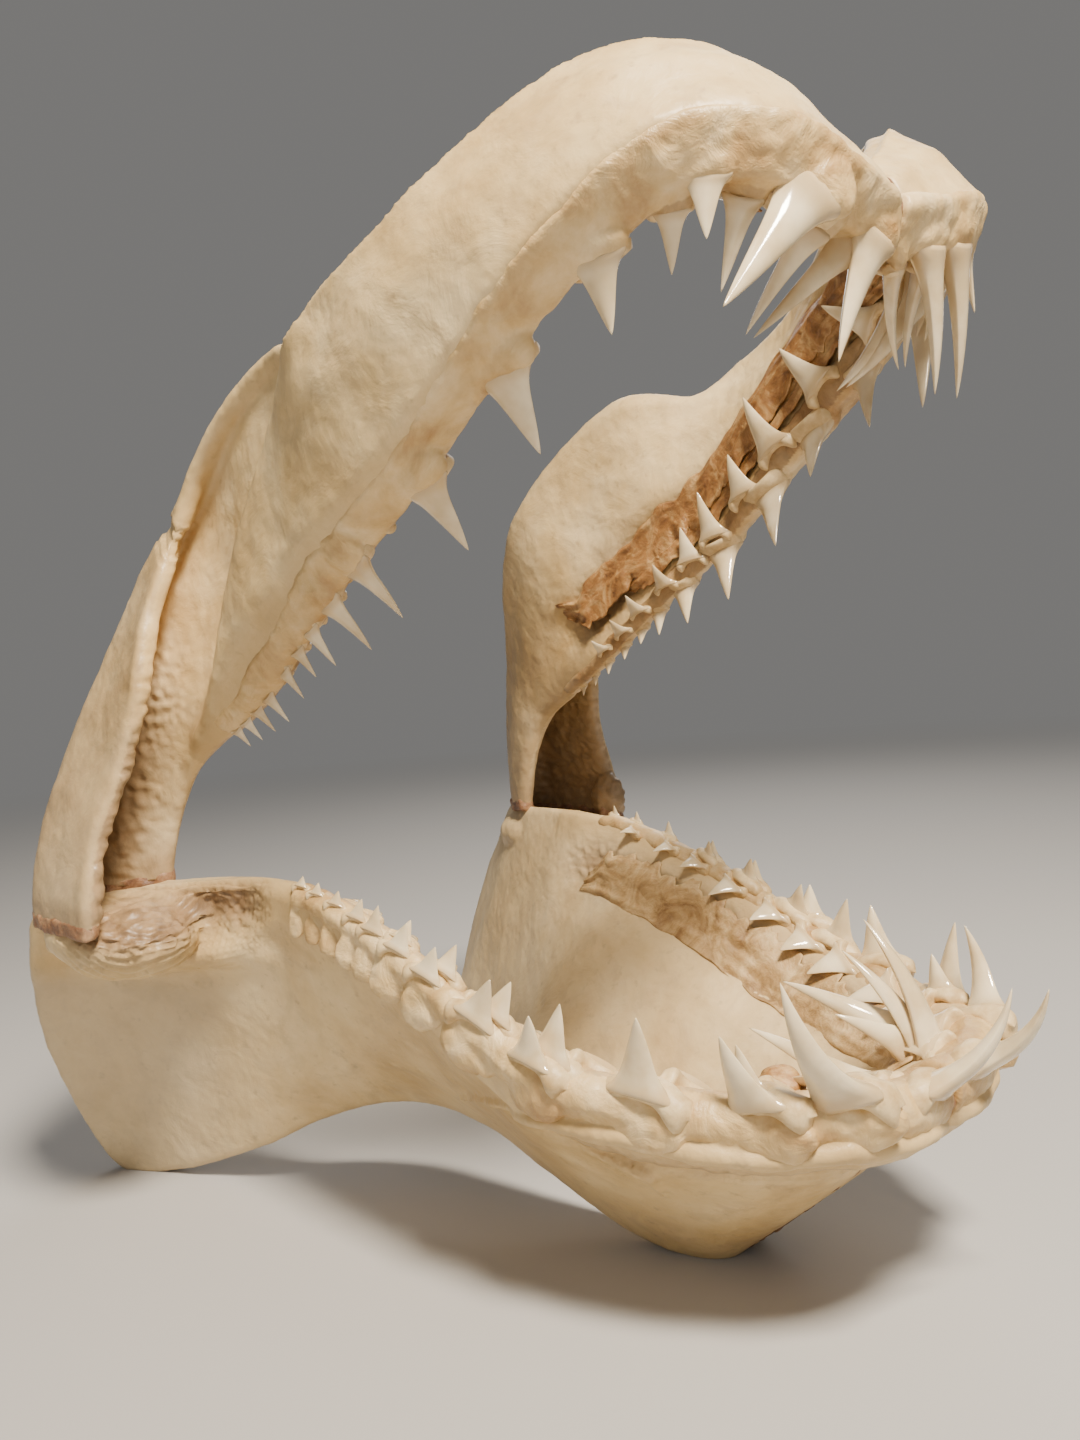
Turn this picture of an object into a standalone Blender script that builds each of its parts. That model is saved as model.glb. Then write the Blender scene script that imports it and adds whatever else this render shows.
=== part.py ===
"""Dried jaws of a shortfin mako shark, mouth open, life size, resting on three small flats.

Axes: +X is the shark's right, +Y is forward, +Z is up, the floor is z = 0.  Tables are in millimetres.
"""
import math
import random

import bmesh
import bpy
import numpy as np

MM = 0.001
Y_SHIFT = -83.0          # puts the middle of the length on y = 0
FLOOR_PITCH = math.radians(1.5)    # the tables lean back this much from the resting pose
REAR_REST = -66.0        # y of the two rear corners that the lean turns about
HALF_GAP = 0.15          # half of the gap between two parts that meet
MIDLINE = 1.5            # each half stops this far from the plane of symmetry
LIGAMENT_HALF = 1.2      # half thickness of the midline ligaments
UPPER_RINGS = 3          # cross-sections made for each row of the upper table
LOWER_RINGS = 2
UPPER_POINTS = 17        # points along each face of a cross-section
LOWER_POINTS = 12
BAND_POINTS = 4          # points along each face of a gum band
JOINT_Z = 113.0          # height of the jaw joint at its inner end
JOINT_SLOPE = 0.22       # the joint drops this much per unit outwards
JOINT_THICK = 4.0        # joint ligament between the two cartilages
TOOTH_SIDES = 6
ROOT_RISE = 0.5          # tooth necks sit this far inside the gum margin
ROOT_SINK = 0.3          # depth of the roots as a fraction of the gum height

# Upper jaw, one row per station from the midline to the joint.
# tooth margin x y z | back edge x y z | outer bulge, inner depth, step place, curl length,
# curl radius, gum height, groove, curl turn in degrees
UPPER = np.array([
    (1.5, 203, 271, 1.5, 193, 288, 5, 13, 2.0, 2, 2, 9, 0, 165),
    (20, 204, 273, 19, 188, 298, 6, 13, 2.0, 2, 2, 9, 1, 165),
    (42, 203, 277, 40, 178, 310, 7, 12, 2.0, 2, 2, 9, 2, 165),
    (60, 190, 276, 59, 159, 308, 8, 11, 2.0, 2, 2, 9, 2, 165),
    (68, 167, 263, 75, 139, 294, 9, 10, 2.0, 2, 2, 8, 2, 165),
    (71, 142, 245, 84, 121, 281, 9, 9, 2.0, 2, 2, 8, 2, 165),
    (74, 116, 223, 87, 99, 270, 8, 8, 1.6, 2, 2, 8, 2, 165),
    (77, 93, 206, 80, 82, 260, 8, 6, 1.05, 4, 3.5, 7, 2, 165),
    (76, 76, 195, 72, 59, 259, 9, 5, 0.76, 8, 4.6, 7, 4, 165),
    (75, 58, 182, 70, 33, 246, 10, 4, 0.54, 12, 4.8, 6, 3, 165),
    (74, 40, 169, 68, 9, 225, 10, 4, 0.34, 19, 5, 5, 3, 163),
    (76, 22, 158, 74, -6, 205, 9, 5, 0.16, 33, 5, 4, 1, 160),
    (78, 6, 148, 82, -16, 181, 7, 5, 0.04, 46, 5.5, 0, 0, 157),
    (79, -4, 135, 88, -24, 158, 5, 5, -0.1, 50, 7, 0, 0, 152),
    (80, -10, 122, 93, -31, 135, 4, 5, -0.2, 55, 9, 0, 0, 146),
    (81, -13, 108, 96, -33, 112, 4, 5, -0.2, 60, 11, 0, 0, 143),
    (82, -13, 92, 97, -33, 90, 4, 5, -0.2, 60, 11, 0, 0, 143),
], float)

# Lower jaw, one row per station from the midline to the back of the joint.
# tooth margin x y z | lower edge x y z | outer bulge, inner depth, shelf height, shelf place,
# gum height, groove, plate hollow
LOWER = np.array([
    (1.5, 211, 70, 1.5, 141, 4, 2, 11, 6, 0.15, 13, 0, 0),
    (16, 212, 71, 5, 140, 4, 2, 11, 6, 0.15, 13, 1, 0),
    (33, 206, 73, 8, 134, 4, 2, 11, 6, 0.15, 13, 2, 0),
    (46, 191, 72, 11, 123, 6, 2, 10, 6, 0.16, 12, 2, 0),
    (58, 169, 73, 14, 106, 12, 3, 9, 5, 0.17, 11, 4, 0),
    (68, 142, 77, 17, 91, 21, 3, 8, 4, 0.18, 9, 4, 0),
    (71, 120, 86, 21, 73, 30, 3, 8, 2, 0.18, 8, 4, 0),
    (71, 98, 96, 26, 52, 35, 3, 7, 1, 0.16, 7, 4, 0),
    (70, 74, 105, 34, 32, 33, 3, 6, 1, 0.14, 6, 3, 0),
    (70, 52, 111, 44, 12, 26, 3, 5, 1, 0.12, 5, 2, 1),
    (70, 33, 113, 53, -5, 17, 3, 5, 1, 0.12, 4, 0, 2),
    (75, 16, 113, 61, -25, 8, 3, 5, 3, 0.2, 0, 0, 3),
    (79, 2, 113, 69, -46, 1, 3, 5, 8, 0.2, 0, 0, 3),
    (83, -8, 112, 78, -66, -1, 3, 5, 13, 0.2, 0, 0, 3),
    (88, -18, 112, 90, -69, 19, 3, 5, 15, 0.22, 0, 0, 3),
    (94, -28, 111, 102, -68, 50, 3, 5, 14, 0.26, 0, 0, 2),
    (101, -36, 110, 109, -60, 80, 3, 5, 10, 0.4, 0, 0, 0),
    (106, -41, 109, 112, -51, 97, 2, 3, 4, 0.5, 0, 0, 0),
], float)

# Teeth of one side, one row each: station, crown height, crown width, inward lean, backward lean,
# distance set in from the outer row.
UPPER_TEETH = (
    (0.35, 32, 11, 0.75, 0.35, 0),
    (1.6, 38, 12, 0.65, 0.6, 0),
    (2.82, 13, 7, 0.5, 0.45, 0),
    (3.9, 18, 13, 0.33, 0.5, 0),
    (5.0, 21, 16, 0.37, 0.25, 0),
    (6.0, 22, 16, 0.4, 0.05, 0),
    (7.05, 19, 14, 0.55, -0.05, 0),
    (7.95, 16, 12, 0.6, -0.05, 0),
    (8.7, 12, 9, 0.58, 0.0, 0),
    (9.35, 10, 7, 0.55, 0.05, 0),
    (9.9, 9, 6, 0.55, 0.0, 0),
    (10.3, 8, 5, 0.55, 0.0, 0),
    (10.65, 7, 4, 0.56, 0.0, 0),
    (0.9, 30, 9, 1.35, 0.9, 3),
    (4.9, 10, 8, 1.2, 0.1, 2),
    (5.9, 11, 8, 1.3, 0.0, 2),
    (6.9, 11, 8, 1.4, 0.0, 2),
)
LOWER_TEETH = (
    (0.68, 34, 12, 0.2, 0.03, 0),
    (2.1, 36, 13, 0.45, 0.8, 0),
    (3.07, 26, 13, 0.1, 0.55, 0),
    (4.13, 25, 15, 0.28, 0.35, 0),
    (5.12, 18, 14, 0.3, 0.25, 0),
    (5.95, 16, 13, 0.45, 0.0, 0),
    (6.8, 12, 11, 0.43, 0.05, 0),
    (7.35, 10, 9, 0.46, 0.0, 0),
    (7.9, 8, 8, 0.44, 0.03, 0),
    (8.45, 6, 6, 0.4, 0.08, 0),
    (9.0, 4, 5, 0.4, 0.1, 0),
    (0.52, 28, 8, 1.35, 0.45, 4),
    (1.2, 30, 9, 1.5, 0.3, 5),
    (2.5, 24, 9, 1.4, 0.5, 4),
    (4.2, 15, 9, 1.4, 0.3, 3),
)

WALL = 3.2               # half thickness of the thin plates
STEP_HALF = 0.13         # half width of the step down to the thin plate, as a fraction of the chord
CURL_FLATTEN = np.array((1, 1, 0.45))    # turns the curled rim from the chord towards level
UPPER_BAND_END = 11.0    # station where the upper gum band stops
LOWER_BAND_END = 9.5
JOINT_SHELF = ((99, -12, 98), (22, 30, 14))    # middle and radii of the lower jaw's joint shelf
JOINT_KNOB = ((113, 4, 111), (6, 9, 12))    # the same for the outer knob of the upper jaw

COLOURS = {
    "cartilage": (0.78, 0.64, 0.43),
    "gum": (0.70, 0.53, 0.32),
    "ligament": (0.33, 0.17, 0.09),
}


def smooth(rows, at):
    """Values of a table between its rows, at counted in rows."""
    last = len(rows) - 1
    i = min(int(at), last - 1)
    f = at - i
    a, b = rows[i], rows[i + 1]
    before = rows[i - 1] if i else 2 * a - b
    after = rows[i + 2] if i + 2 <= last else 2 * b - a
    cubic = 3 * (a - b) + after - before
    square = 2 * before - 5 * a + 4 * b - after
    return a + 0.5 * f * (b - before + f * (square + f * cubic))


def ease(low, high, x):
    f = min(max((x - low) / (high - low), 0.0), 1.0)
    return f * f * (3 - 2 * f)


def bump(x, middle, half):
    f = abs(x - middle) / half
    return (1 - f * f) ** 2 if f < 1 else 0.0


def unit(v):
    return v / np.linalg.norm(v)


def frame(rows, at, turn):
    """Margin point, chord direction and length, outward direction and direction of travel."""
    step = 0.05
    row = smooth(rows, at)
    ahead = smooth(rows, min(at + step, len(rows) - 1))
    behind = smooth(rows, max(at - step, 0.0))
    travel = ahead[:3] + ahead[3:6] - behind[:3] - behind[3:6]
    length = np.linalg.norm(row[3:6] - row[:3])
    chord = (row[3:6] - row[:3]) / length
    out = unit(turn * np.cross(chord, travel))
    return row[:3], chord, length, out, unit(travel)


def upper_faces(row, s):
    """Outer and inner depth of the upper cartilage at the fraction s of its chord."""
    bulge, inner, step, groove = row[6], row[7], row[8], row[12]
    rise = ease(-0.05, 0.2, s)
    fall = 1 - 0.7 * ease(0.55, 1.0, s) * ease(1.2, 1.6, step)
    outer = WALL * (0.6 + 0.4 * rise) + bulge * rise * fall * (1 - ease(step - STEP_HALF, step + STEP_HALF, s))
    depth = WALL + (inner - WALL) * ease(-0.1, 0.4, s) * (1 - ease(0.5, 1.0, s))
    return outer, depth - groove * bump(s, 0.32, 0.2)


def lower_faces(row, s):
    """Outer and inner depth of the lower cartilage at the fraction s of its chord."""
    bulge, inner, shelf, place, groove, hollow = row[6], row[7], row[8], row[9], row[11], row[12]
    hump = math.sin(math.pi * min(s, 1.0))
    rise = (0.4 + 0.6 * min(s / place, 1.0)) * (1 - ease(place, place + 0.1, s))
    outer = WALL + bulge * hump + shelf * rise - hollow * hump
    depth = WALL + (inner - WALL) * ease(-0.1, 0.3, s)
    return outer, depth - groove * bump(s, 0.3, 0.18)


def section(rows, faces, turn, at, start, closed_start):
    """Points round one cross-section: along the outer face to the back edge, then home again."""
    row = smooth(rows, at)
    margin, chord, length, out, _ = frame(rows, at, turn)
    curl, radius, turned = (row[9], row[10], row[13]) if faces is upper_faces else (0, 1, 0)
    total = length + curl
    back = unit(chord * CURL_FLATTEN)
    count = UPPER_POINTS if faces is upper_faces else LOWER_POINTS
    outer, inner = [], []
    for k in range(count):
        t = k / (count - 1)
        distance = start + (total - start) * (1 - (1 - t) ** 1.25)
        depth = faces(row, min(distance / length, 1.0))
        half = 0.5 * (depth[0] + depth[1])
        nose = 0.9 * half
        thin = math.sqrt(max(1 - max(distance - total + nose, 0.0) ** 2 / nose ** 2, 0.0))
        if closed_start:
            early = max(start + nose - distance, 0.0) / nose
            thin *= math.sqrt(1 - 0.8 * early ** 2)
        middle = 0.5 * (depth[0] - depth[1])
        bent = max(distance - length, 0.0)
        angle = min(bent / radius, math.radians(turned))
        straight = bent - angle * radius
        along = min(distance, length)
        past = radius * math.sin(angle) + straight * math.cos(angle)
        up = radius * (1 - math.cos(angle)) + straight * math.sin(angle)
        for side, points in ((1, outer), (-1, inner)):
            offset = middle + side * half * thin
            x = past - offset * math.sin(angle)
            y = up + offset * math.cos(angle)
            points.append(margin + chord * along + back * x + out * y)
    ring = outer + inner[-2::-1]
    if at == 0:
        ring = [np.array((MIDLINE, p[1], p[2])) for p in ring]
    return ring


def band_section(rows, faces, turn, at, height):
    """Points round a gum band: the tooth margin side is rounded, the other side is flat."""
    row = smooth(rows, at)
    margin, chord, length, out, _ = frame(rows, at, turn)
    outer, inner = [], []
    for k in range(BAND_POINTS):
        t = k / (BAND_POINTS - 1)
        depth = faces(row, t * height / length)
        thin = (0.45, 0.82, 0.97, 1.0)[k]
        half, middle = 0.5 * (depth[0] + depth[1]), 0.5 * (depth[0] - depth[1])
        outer.append(margin + chord * t * height + out * (middle + half * thin))
        inner.append(margin + chord * t * height + out * (middle - half * thin))
    ring = inner + outer[::-1]
    if at == 0:
        ring = [np.array((MIDLINE, p[1], p[2])) for p in ring]
    return ring


def loft(rings):
    """Closed mesh through rings of equal length; the diagonals match across a gap between parts."""
    mesh = bmesh.new()
    rows = [[mesh.verts.new(point) for point in ring] for ring in rings]
    size = len(rows[0])
    for a, b in zip(rows, rows[1:]):
        for k in range(size):
            j = (k + 1) % size
            mesh.faces.new((a[k], a[j], b[j]))
            mesh.faces.new((a[k], b[j], b[k]))
    mesh.faces.new(rows[0][::-1])
    mesh.faces.new(rows[-1])
    return mesh


def cut(mesh, point, normal):
    """Removes what lies on the normal's side of a plane and closes the cut with a flat face."""
    bmesh.ops.bisect_plane(
        mesh, geom=list(mesh.verts) + list(mesh.edges) + list(mesh.faces),
        plane_co=point, plane_no=normal, clear_outer=True,
    )
    rim = [edge for edge in mesh.edges if edge.is_boundary]
    filled = bmesh.ops.holes_fill(mesh, edges=rim, sides=0)["faces"]
    return [[vert.co.copy() for vert in face.verts] for face in filled]


def stations(faces, end):
    """Stations of the cross-sections from the midline to the station end."""
    per_row = UPPER_RINGS if faces is upper_faces else LOWER_RINGS
    return [k / per_row for k in range(int(end * per_row + 0.5) + 1)]


def gum_height(rows, faces, at):
    return smooth(rows, at)[11 if faces is upper_faces else 10]


def jaw_mesh(rows, faces, turn, band_end):
    """Cartilage of the right side, with room left for its gum band."""
    rings = []
    for at in stations(faces, len(rows) - 1):
        banded = at <= band_end
        start = gum_height(rows, faces, at) + HALF_GAP if banded else 0.0
        rings.append(section(rows, faces, turn, at, start, not banded))
    return loft(rings)


def band_mesh(rows, faces, turn, band_end):
    rings = []
    for at in stations(faces, band_end):
        height = gum_height(rows, faces, at) - HALF_GAP
        rings.append(band_section(rows, faces, turn, at, height))
    return loft(rings)


def tooth_mesh(root, axis, across, height, width, depth):
    """Curved crown on a broad root; axis points to the tip, across lies along the jaw."""
    inward = np.cross(axis, across)
    mesh = bmesh.new()
    rings = []
    for place, size in ((-depth / height, 0.85), (0.02, 1.0), (0.3, 0.74), (0.65, 0.46)):
        middle = root + axis * place * height
        ring = []
        for k in range(TOOTH_SIDES):
            angle = 2 * math.pi * k / TOOTH_SIDES
            side = across * math.cos(angle) * 0.5 * width * size
            ring.append(middle + side + inward * math.sin(angle) * 0.3 * width * size)
        rings.append([mesh.verts.new(point) for point in ring])
    tip = mesh.verts.new(root + axis * height)
    for a, b in zip(rings, rings[1:]):
        for k in range(TOOTH_SIDES):
            j = (k + 1) % TOOTH_SIDES
            mesh.faces.new((a[k], a[j], b[j], b[k]))
    for k in range(TOOTH_SIDES):
        mesh.faces.new((rings[-1][k], rings[-1][(k + 1) % TOOTH_SIDES], tip))
    mesh.faces.new(rings[0][::-1])
    return mesh


def teeth_meshes(rows, faces, turn, teeth, seed):
    """The row of teeth of one side; each is a little different from the one opposite."""
    rng = random.Random(seed)
    meshes = []
    for at, height, width, lean_in, lean_back, inset in teeth:
        at += rng.uniform(-0.04, 0.04)
        height *= rng.uniform(0.94, 1.06)
        row = smooth(rows, at)
        margin, chord, length, out, travel = frame(rows, at, turn)
        depth = faces(row, 0.02)
        middle = margin + out * (0.5 * (depth[0] - depth[1]) - inset) + chord * ROOT_RISE
        axis = unit(-chord - lean_in * out + (lean_back + rng.uniform(-0.05, 0.05)) * travel)
        across = unit(travel - axis * np.dot(axis, travel))
        sink = ROOT_SINK * gum_height(rows, faces, at)
        meshes.append(tooth_mesh(middle, axis, across, height, width, sink))
    return meshes


def face_outward(mesh):
    bmesh.ops.recalc_face_normals(mesh, faces=mesh.faces)
    if mesh.calc_volume(signed=True) < 0:
        bmesh.ops.reverse_faces(mesh, faces=mesh.faces)


def finish_object(name, mesh, slot, side):
    """Sets the mesh down on the floor in metres, mirrored for the left side, and makes the object."""
    lean, level = math.sin(FLOOR_PITCH), math.cos(FLOOR_PITCH)
    for vert in mesh.verts:
        x, y, z = vert.co
        reach = y - REAR_REST
        y = reach * level + z * lean + REAR_REST + Y_SHIFT
        vert.co = (x * MM * side, y * MM, (z * level - reach * lean) * MM)
    face_outward(mesh)
    data = bpy.data.meshes.new(name)
    mesh.to_mesh(data)
    mesh.free()
    obj = bpy.data.objects.new(name, data)
    bpy.context.scene.collection.objects.link(obj)
    data.materials.append(material(name, slot))
    data.shade_smooth()
    data.set_sharp_from_angle(angle=math.radians(50))
    return obj


def material(name, slot):
    made = bpy.data.materials.new(name)
    made.use_nodes = True
    shader = made.node_tree.nodes["Principled BSDF"]
    shader.inputs["Base Color"].default_value = (*COLOURS[slot], 1.0)
    shader.inputs["Roughness"].default_value = 0.5
    return made


def largest(obj):
    """Keeps the biggest closed surface of an object."""
    mesh = bmesh.new()
    mesh.from_mesh(obj.data)
    seen = set()
    pieces = []
    for seed in mesh.verts:
        if seed in seen:
            continue
        piece, reach = [], [seed]
        seen.add(seed)
        while reach:
            vert = reach.pop()
            piece.append(vert)
            for edge in vert.link_edges:
                other = edge.other_vert(vert)
                if other not in seen:
                    seen.add(other)
                    reach.append(other)
        pieces.append(piece)
    keep = max(pieces, key=len)
    for piece in pieces:
        if piece is not keep:
            bmesh.ops.delete(mesh, geom=piece, context="VERTS")
    mesh.to_mesh(obj.data)
    mesh.free()


def fuse(name, body, lumps, slot, side):
    """One closed body from a main mesh and the pieces sunk into it."""
    obj = finish_object(name, body, slot, side)
    extra = bpy.data.collections.new(name + "_pieces")
    bpy.context.scene.collection.children.link(extra)
    for k, mesh in enumerate(lumps):
        piece = finish_object(f"{name}_piece_{k}", mesh, slot, side)
        bpy.context.scene.collection.objects.unlink(piece)
        extra.objects.link(piece)
    union = obj.modifiers.new("union", "BOOLEAN")
    union.operation = "UNION"
    union.operand_type = "COLLECTION"
    union.collection = extra
    union.solver = "EXACT"
    graph = bpy.context.evaluated_depsgraph_get()
    fused = bpy.data.meshes.new_from_object(obj.evaluated_get(graph))
    obj.modifiers.clear()
    obj.data = fused
    obj.data.materials.clear()
    obj.data.materials.append(material(name, slot))
    for piece in list(extra.objects):
        bpy.data.objects.remove(piece)
    bpy.data.collections.remove(extra)
    largest(obj)
    return obj


def ball(middle, radii):
    mesh = bmesh.new()
    bmesh.ops.create_icosphere(mesh, subdivisions=2, radius=1.0)
    for vert in mesh.verts:
        vert.co = [m + r * c for m, r, c in zip(middle, radii, vert.co)]
    return mesh


def prism(outline, low, high):
    """Solid between two shifted copies of one outline."""
    return loft([[np.array(p) + low for p in outline], [np.array(p) + high for p in outline]])


def cut_floor(mesh):
    lean, level = math.sin(FLOOR_PITCH), math.cos(FLOOR_PITCH)
    cut(mesh, (0, REAR_REST, 0), (0, lean, -level))


def joint_plane(drop):
    """Point and upward normal of the joint plane, moved down by drop."""
    return (84, 0, JOINT_Z - drop), (JOINT_SLOPE, 0, 1)


def make_upper(side, word):
    mesh = jaw_mesh(UPPER, upper_faces, 1, UPPER_BAND_END)
    point, normal = joint_plane(0)
    caps = cut(mesh, point, [-n for n in normal])
    knob = ball(*JOINT_KNOB)
    cut(knob, point, [-n for n in normal])
    fuse("palatoquadrate_" + word, mesh, [knob], "cartilage", side)
    outline = max(caps, key=len)
    gap = 2 * HALF_GAP
    slab = prism(outline, (0, 0, gap - JOINT_THICK), (0, 0, -gap))
    finish_object("hinge_ligament_" + word, slab, "ligament", side)
    band = band_mesh(UPPER, upper_faces, 1, UPPER_BAND_END)
    teeth = teeth_meshes(UPPER, upper_faces, 1, UPPER_TEETH, 5 + side)
    fuse("upper_gum_teeth_" + word, band, teeth, "gum", side)


def make_lower(side, word):
    mesh = jaw_mesh(LOWER, lower_faces, -1, LOWER_BAND_END)
    cut_floor(mesh)
    point, normal = joint_plane(JOINT_THICK)
    lump = ball(*JOINT_SHELF)
    cut(mesh, point, normal)
    cut(lump, point, normal)
    fuse("meckels_cartilage_" + word, mesh, [lump], "cartilage", side)
    band = band_mesh(LOWER, lower_faces, -1, LOWER_BAND_END)
    teeth = teeth_meshes(LOWER, lower_faces, -1, LOWER_TEETH, 15 + side)
    fuse("lower_gum_teeth_" + word, band, teeth, "gum", side)


def make_midline():
    for name, rows, faces, turn in (
        ("upper_symphysis_ligament", UPPER, upper_faces, 1),
        ("lower_symphysis_ligament", LOWER, lower_faces, -1),
    ):
        ring = section(rows, faces, turn, 0, 0.0, True)
        low = (-MIDLINE - LIGAMENT_HALF, 0, 0)
        slab = prism(ring, low, (LIGAMENT_HALF - MIDLINE, 0, 0))
        if turn < 0:
            cut_floor(slab)
        finish_object(name, slab, "ligament", 1)


def main():
    for obj in list(bpy.data.objects):
        bpy.data.objects.remove(obj)
    for side, word in ((1, "right"), (-1, "left")):
        make_upper(side, word)
        make_lower(side, word)
    make_midline()


main()
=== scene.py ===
"""Looks of the dried mako shark jaws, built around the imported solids.

Axes: +X is the shark's right, +Y is forward, +Z is up.  The tables are in millimetres: UPPER and LOWER are
those of the solids, and the tables of teeth, folds and flaps were fitted to the photo.  place() turns their
millimetres into the metres of the frame.
"""
import math
import random

import bmesh
import bpy
import numpy as np
from mathutils import Matrix, Vector, kdtree, noise


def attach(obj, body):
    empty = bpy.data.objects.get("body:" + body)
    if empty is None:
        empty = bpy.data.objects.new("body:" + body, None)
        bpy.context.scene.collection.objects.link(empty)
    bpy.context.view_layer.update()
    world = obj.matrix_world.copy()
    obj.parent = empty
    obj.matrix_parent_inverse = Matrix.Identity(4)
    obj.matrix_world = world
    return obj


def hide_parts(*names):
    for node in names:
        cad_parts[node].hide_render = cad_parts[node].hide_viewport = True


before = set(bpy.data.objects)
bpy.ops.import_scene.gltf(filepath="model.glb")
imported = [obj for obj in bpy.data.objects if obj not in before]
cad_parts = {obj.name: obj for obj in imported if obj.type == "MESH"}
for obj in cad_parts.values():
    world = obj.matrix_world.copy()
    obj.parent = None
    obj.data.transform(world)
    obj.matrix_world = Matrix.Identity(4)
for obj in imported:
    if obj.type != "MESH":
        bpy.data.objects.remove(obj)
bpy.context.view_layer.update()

MM = 0.001
# From the tables to the frame: a turn about the rear rest that sets the jaws on the floor, and a shift.
Y_SHIFT = -83.0
FLOOR_PITCH = math.radians(1.5)
REAR_REST = -66.0
LEAN, LEVEL = math.sin(FLOOR_PITCH), math.cos(FLOOR_PITCH)
# Start of each half beside the middle, least depth of a face, half width of the outer face's step, and
# how much the curled edge follows the chord along each axis.
MIDLINE = 1.5
WALL = 3.2
STEP_HALF = 0.13
CURL_FLATTEN = np.array((1, 1, 0.45))
# The sloping joint: its middle, slope and thickness, and how far the dried cartilage creeps into it.
JOINT_X = 84
JOINT_Z = 113.0
JOINT_SLOPE = 0.22
JOINT_THICK = 4.0
JOINT_CREEP = 1.4
# Detail of the cross-sections and of the skins round them.
RINGS_PER_ROW = 9
FACE_POINTS = 70
VOXEL = 0.9
GUM_VOXEL = 0.7

# One row per station from the midline to the joint: the tooth margin, the far edge, bulge of the outer
# face, depth of the inner face, place of the step, length and radius of the curled edge, height of the gum,
# groove behind the teeth, angle of the curl.
UPPER = np.array([
    (1.5, 203, 271, 1.5, 193, 288, 5, 13, 2.0, 2, 2, 9, 0, 165),
    (20, 204, 273, 19, 188, 298, 6, 13, 2.0, 2, 2, 9, 1, 165),
    (42, 203, 277, 40, 178, 310, 7, 12, 2.0, 2, 2, 9, 2, 165),
    (60, 190, 276, 59, 159, 308, 8, 11, 2.0, 2, 2, 9, 2, 165),
    (68, 167, 263, 75, 139, 294, 9, 10, 2.0, 2, 2, 8, 2, 165),
    (71, 142, 245, 84, 121, 281, 9, 9, 2.0, 2, 2, 8, 2, 165),
    (74, 116, 223, 87, 99, 270, 8, 8, 1.6, 2, 2, 8, 2, 165),
    (77, 93, 206, 80, 82, 260, 8, 6, 1.05, 4, 3.5, 7, 2, 165),
    (76, 76, 195, 72, 59, 259, 9, 5, 0.76, 8, 4.6, 7, 4, 165),
    (75, 58, 182, 70, 33, 246, 10, 4, 0.54, 12, 4.8, 6, 3, 165),
    (74, 40, 169, 68, 9, 225, 10, 4, 0.34, 19, 5, 5, 3, 163),
    (76, 22, 158, 74, -6, 205, 9, 5, 0.16, 33, 5, 4, 1, 160),
    (78, 6, 148, 82, -16, 181, 7, 5, 0.04, 46, 5.5, 0, 0, 157),
    (79, -4, 135, 88, -24, 158, 5, 5, -0.1, 50, 7, 0, 0, 152),
    (80, -10, 122, 93, -31, 135, 4, 5, -0.2, 55, 9, 0, 0, 146),
    (81, -13, 108, 96, -33, 112, 4, 5, -0.2, 60, 11, 0, 0, 143),
    (82, -13, 92, 97, -33, 90, 4, 5, -0.2, 60, 11, 0, 0, 143),
], float)

# The same for the lower jaw: margin, far edge, bulge, depth, shelf and its place, height of the gum,
# groove, hollow.
LOWER = np.array([
    (1.5, 211, 70, 1.5, 141, 4, 2, 11, 6, 0.15, 13, 0, 0),
    (16, 212, 71, 5, 140, 4, 2, 11, 6, 0.15, 13, 1, 0),
    (33, 206, 73, 8, 134, 4, 2, 11, 6, 0.15, 13, 2, 0),
    (46, 191, 72, 11, 123, 6, 2, 10, 6, 0.16, 12, 2, 0),
    (58, 169, 73, 14, 106, 12, 3, 9, 5, 0.17, 11, 4, 0),
    (68, 142, 77, 17, 91, 21, 3, 8, 4, 0.18, 9, 4, 0),
    (71, 120, 86, 21, 73, 30, 3, 8, 2, 0.18, 8, 4, 0),
    (71, 98, 96, 26, 52, 35, 3, 7, 1, 0.16, 7, 4, 0),
    (70, 74, 105, 34, 32, 33, 3, 6, 1, 0.14, 6, 3, 0),
    (70, 52, 111, 44, 12, 26, 3, 5, 1, 0.12, 5, 2, 1),
    (70, 33, 113, 53, -5, 17, 3, 5, 1, 0.12, 4, 0, 2),
    (75, 16, 113, 61, -25, 8, 3, 5, 3, 0.2, 0, 0, 3),
    (79, 2, 113, 69, -46, 1, 3, 5, 8, 0.2, 0, 0, 3),
    (83, -8, 112, 78, -66, -1, 3, 5, 13, 0.2, 0, 0, 3),
    (88, -18, 112, 90, -69, 19, 3, 5, 15, 0.22, 0, 0, 3),
    (94, -28, 111, 102, -68, 50, 3, 5, 14, 0.26, 0, 0, 2),
    (101, -36, 110, 109, -60, 80, 3, 5, 10, 0.4, 0, 0, 0),
    (106, -41, 109, 112, -51, 97, 2, 3, 4, 0.5, 0, 0, 0),
], float)

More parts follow.
